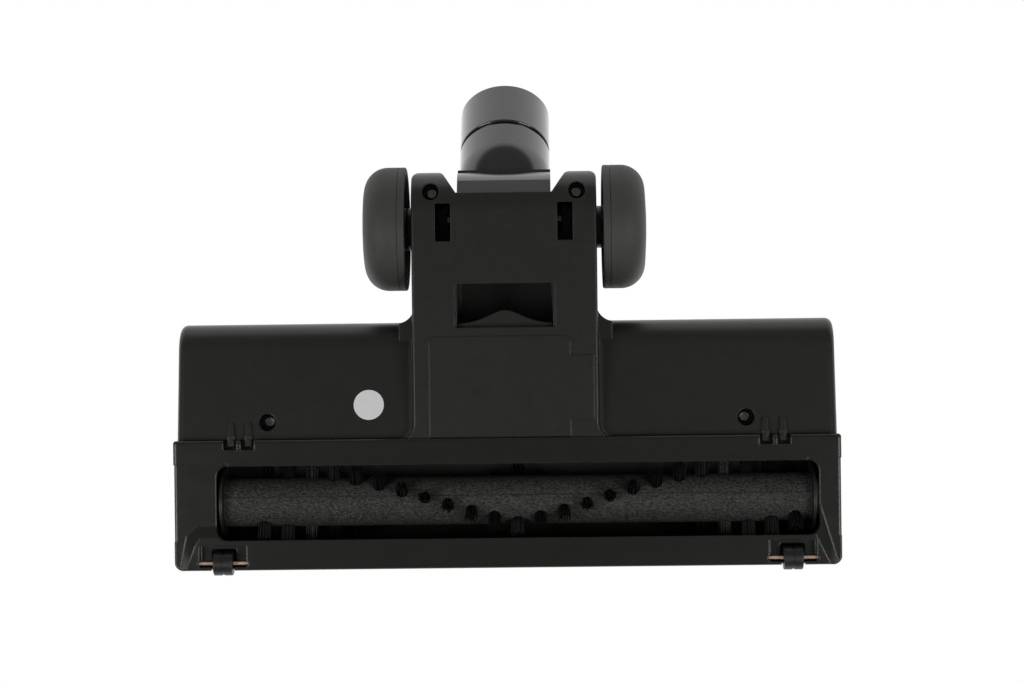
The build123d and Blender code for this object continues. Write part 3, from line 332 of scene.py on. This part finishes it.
# The turbine, its nozzle plate and the two pulleys are unpolished mouldings that stay out of sight.
# Air through the nozzle turns the bladed rotor, and its shaft drives the roll by a belt.
INNER_DARK = (0.026, 0.026, 0.026)
INNER_PALE = (0.042, 0.042, 0.041)
unpolished_black = finish(
    "unpolished_black",
    lambda s: s.noise(s.place(), 150.0).tint(INNER_DARK, INNER_PALE),
    lambda s: 0.5 + 0.2 * s.noise(s.place(), 500.0),
    lambda s: s.noise(s.place(), 1800.0).bump(0.00002),
)
dress(unpolished_black, "turbine_rotor", "air_nozzle", "brush_pulley", "drive_pinion", "collar_ring")
dress(unpolished_black, "wheel_axle_left", "wheel_axle_right", "brush_bearing_left")

RUBBER_DARK = (0.012, 0.012, 0.012)
RUBBER_PALE = (0.026, 0.026, 0.026)
belt_rubber = finish(
    "belt_rubber",
    lambda s: s.noise(s.place((1.0, 0.2, 0.2)), 600.0).tint(RUBBER_DARK, RUBBER_PALE),
    lambda s: 0.6 + 0.2 * s.noise(s.place(), 900.0),
    lambda s: s.noise(s.place(), 2200.0).bump(0.00003),
)
dress(belt_rubber, "drive_belt")

# The front rollers turn on two pieces of copper-coated wire, pressed into grooves of the sole frame.
# Their coat is worn unevenly.
COPPER_DARK = (0.58, 0.40, 0.29)
COPPER_PALE = (0.86, 0.66, 0.52)
copper_wire = finish(
    "copper_wire",
    lambda s: s.noise(s.place((0.3, 1.0, 1.0)), 1500.0, 5.0).ramp(0.3, 0.7).tint(COPPER_DARK, COPPER_PALE),
    lambda s: 0.26 + 0.3 * s.noise(s.place(), 1800.0),
    lambda s: s.noise(s.place((0.2, 1.0, 1.0)), 3200.0).bump(0.00001),
    Metallic=0.2,
)
dress(copper_wire, "roller_pin_left", "roller_pin_right")

# The rear wheels are thick hollow mouldings with a fine grain from their mould, which makes them look
# greyer than the shells. They snap onto stub axles in the ears.
WHEEL_DARK = (0.034, 0.034, 0.032)
WHEEL_PALE = (0.048, 0.048, 0.045)
grained_grey = finish(
    "grained_grey",
    lambda s: s.noise(s.place(), 110.0, 6.0).tint(WHEEL_DARK, WHEEL_PALE),
    lambda s: 0.56 + 0.16 * s.noise(s.place(), 700.0, 5.0),
    lambda s: s.noise(s.place(), 1700.0, 3.0).bump(0.00006),
    Specular_IOR_Level=0.5,
)
dress(grained_grey, "wheel_left", "wheel_right")

# The neck is an elbow that tilts between the ears and a collar that turns in it. Both are black with a
# satin skin, and the collar takes the wand.
NECK_DARK = (0.011, 0.011, 0.011)
NECK_PALE = (0.016, 0.016, 0.0155)
satin_black = finish(
    "satin_black",
    lambda s: s.noise(s.place(), 70.0).tint(NECK_DARK, NECK_PALE),
    lambda s: 0.16 + 0.12 * s.noise(s.place(), 300.0, 5.0),
    lambda s: s.noise(s.place(), 2400.0).bump(0.00001),
    Specular_IOR_Level=0.6,
    Coat_Weight=0.9,
    Coat_Roughness=0.12,
)
dress(satin_black, "neck_elbow", "wand_collar")

# Four blackened steel screws with cross recesses sit deep in the lower shell and bite into the top cover.
# Their pale grey is a painted highlight, standing in for glints and light that don't reach down the
# recesses.
# These greys are far paler than blackened steel. They paint in the screws' highlights.
SCREW_GLINT_DARK = (0.20, 0.20, 0.20)
SCREW_GLINT_PALE = (0.48, 0.48, 0.47)
blackened_steel_painted_glint = finish(
    "blackened_steel_painted_glint",
    lambda s: s.noise(s.place(), 1300.0).tint(SCREW_GLINT_DARK, SCREW_GLINT_PALE),
    lambda s: 0.28 + 0.2 * s.noise(s.place(), 1500.0),
    lambda s: s.noise(s.place(), 3000.0).bump(0.000015),
    Metallic=0.9,
)
dress(blackened_steel_painted_glint, "housing_screws")

# A plain round dot of white coated paper is stuck on the left wing's floor. It is the only pale spot on
# the under side.
PAPER_DARK = (0.70, 0.70, 0.70)
PAPER_PALE = (0.80, 0.80, 0.80)
coated_paper = finish(
    "coated_paper",
    lambda s: s.noise(s.place(), 500.0, 6.0).tint(PAPER_DARK, PAPER_PALE),
    lambda s: 0.5 + 0.15 * s.noise(s.place(), 900.0),
    lambda s: s.noise(s.place(), 2500.0).bump(0.00001),
)
dress(coated_paper, "dot_sticker")

# The studio has a pale floor that shows from above only, since the photograph looks at the head from
# below. It casts no shadow and colours nothing, and it only takes the head's own shadow.
FLOOR_SIZE = 6.0
FLOOR_DROP = 0.0003
FLOOR_TONE = (0.80, 0.80, 0.79, 1.0)
bpy.ops.object.select_all(action="DESELECT")
bpy.ops.mesh.primitive_plane_add(size=FLOOR_SIZE, location=(0, 0, -FLOOR_DROP))
floor = bpy.context.object
floor.name = "floor"
floor_material = bpy.data.materials.new("floor")
floor_material.use_nodes = True
floor_material.node_tree.nodes.clear()
floor_start = Socket(floor_material.node_tree)
floor_face = floor_start.node("ShaderNodeBsdfDiffuse", {}, {"Color": FLOOR_TONE})
floor_clear = floor_start.node("ShaderNodeBsdfTransparent")
below_floor = floor_start.node("ShaderNodeNewGeometry", output="Backfacing")
floor_mix = floor_start.node("ShaderNodeMixShader", {}, {0: below_floor, 1: floor_face, 2: floor_clear})
floor_start.node("ShaderNodeOutputMaterial", {}, {"Surface": floor_mix})
floor.data.materials.append(floor_material)
floor.visible_diffuse = False
floor.visible_glossy = False
floor.visible_transmission = False
floor.visible_shadow = False

# The room is white above the head and dim below it, which keeps the under side black. The camera itself
# sees plain white all round. Two soft boxes light the head from above and two from below.
ROOM_ABOVE = 1.0
ROOM_BELOW = 0.17
ROOM_DIM_HEIGHT = -0.25
ROOM_WHITE_HEIGHT = -0.03
world = bpy.data.worlds.new("studio")
bpy.context.scene.world = world
world.use_nodes = True
world.node_tree.nodes.clear()
room = Socket(world.node_tree)
towards = room.node("ShaderNodeTexCoord", output="Generated")
height = room.node("ShaderNodeSeparateXYZ", {}, {"Vector": towards}, "Z")
seen = room.node("ShaderNodeLightPath", output="Is Camera Ray")
room_light = ROOM_BELOW + (ROOM_ABOVE - ROOM_BELOW) * height.ramp(ROOM_DIM_HEIGHT, ROOM_WHITE_HEIGHT)
room_strength = seen + (1 - seen) * room_light
backdrop = room.node("ShaderNodeBackground", {}, {"Color": (1, 1, 1, 1), "Strength": room_strength})
room.node("ShaderNodeOutputWorld", {}, {"Surface": backdrop})


def soft_lamp(name, place, target, size, power):
    """A square soft box that points at a target."""
    lamp = bpy.data.lights.new(name, "AREA")
    lamp.shape = "SQUARE"
    lamp.size = size
    lamp.energy = power
    box = bpy.data.objects.new(name, lamp)
    box.location = place
    box.rotation_euler = (Vector(target) - Vector(place)).to_track_quat("-Z", "Y").to_euler()
    bpy.context.scene.collection.objects.link(box)


HEAD = (0.0, 0.0, 0.03)
for side in (1, -1):
    soft_lamp("above", (side * 1.1, -0.6, 1.4), HEAD, 1.3, 6.0)
    soft_lamp("below", (side * 0.72, -0.28, -1.0), HEAD, 0.5, 5.4)

# The camera looks straight up at the under side, with the neck at the top of the picture. It stands a
# little to the right of the middle and turns back by a small yaw.
CAMERA_X = -0.0186
CAMERA_Y = -0.0082
CAMERA_Z = -0.998
CAMERA_LENS = 82.3
CAMERA_SENSOR = 36.0
CAMERA_REACH = 20.0
CAMERA_YAW = math.radians(0.896)
CAMERA_ROLL = math.radians(-0.7)
camera_data = bpy.data.cameras.new("camera")
camera_data.lens = CAMERA_LENS
camera_data.sensor_width = CAMERA_SENSOR
camera_data.clip_end = CAMERA_REACH
camera = bpy.data.objects.new("camera", camera_data)
camera.matrix_world = (
    Matrix.Translation((CAMERA_X, CAMERA_Y, CAMERA_Z))
    @ Matrix.Rotation(math.pi + CAMERA_YAW, 4, "Y")
    @ Matrix.Rotation(CAMERA_ROLL, 4, "Z")
)
bpy.context.scene.collection.objects.link(camera)
bpy.context.scene.camera = camera
bpy.context.scene.view_settings.view_transform = "Standard"
